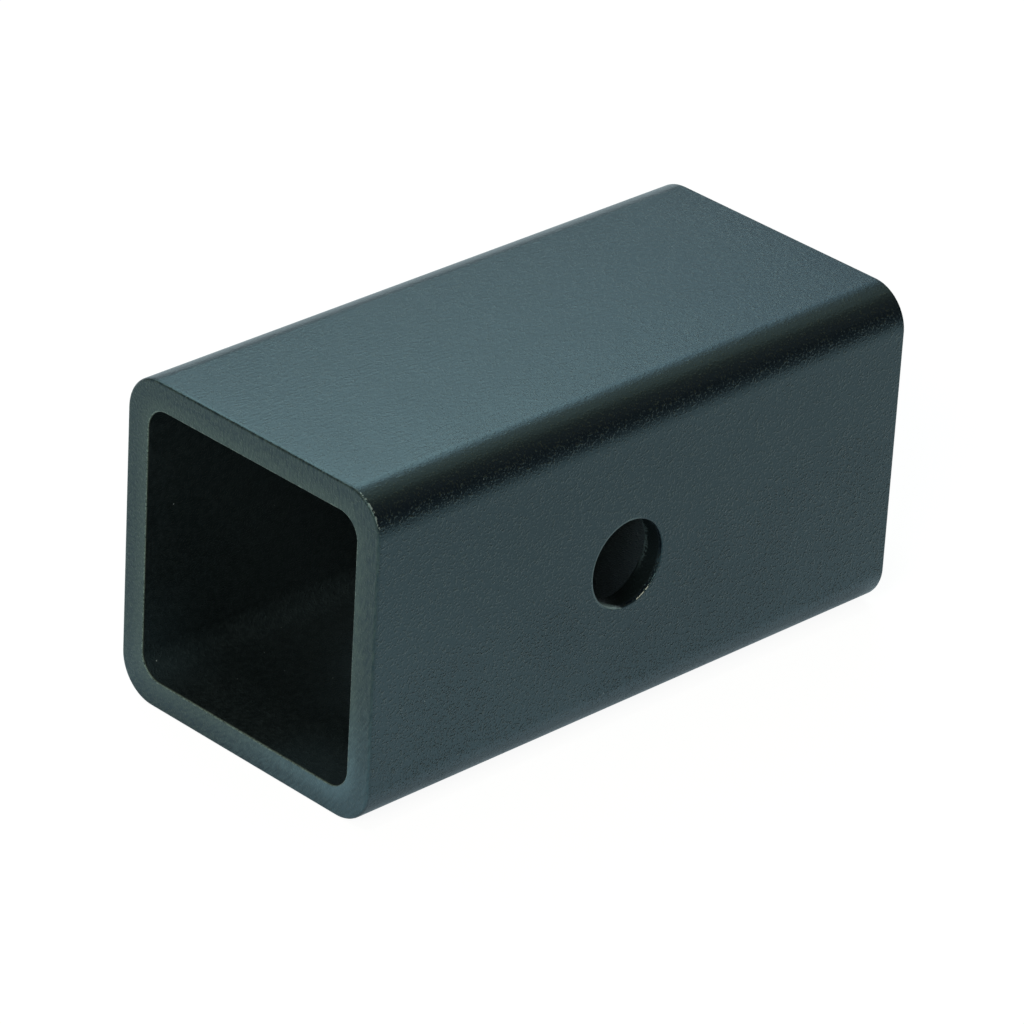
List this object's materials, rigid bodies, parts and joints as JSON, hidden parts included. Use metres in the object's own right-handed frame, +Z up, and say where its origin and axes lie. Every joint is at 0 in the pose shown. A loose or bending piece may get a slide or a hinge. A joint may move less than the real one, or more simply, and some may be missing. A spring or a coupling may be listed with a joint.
{
  "type": "hitch receiver adapter",
  "caption": "Square steel tube sleeve, open at each end and cross-drilled for a hitch pin, that lets a large trailer hitch receiver take a smaller square shank.",
  "frame": {"origin": "where the pin hole's axis crosses the tube's centreline", "axes": "+X along the tube away from its front end, +Y along the pin hole, +Z up as it lies on one flat"},
  "size_m": [0.127, 0.0636, 0.0636],
  "materials": {
    "black_powder_coat": "satin"
  },
  "bodies": {
    "root": {"adapter_sleeve": "black_powder_coat"}
  },
  "joints": []
}
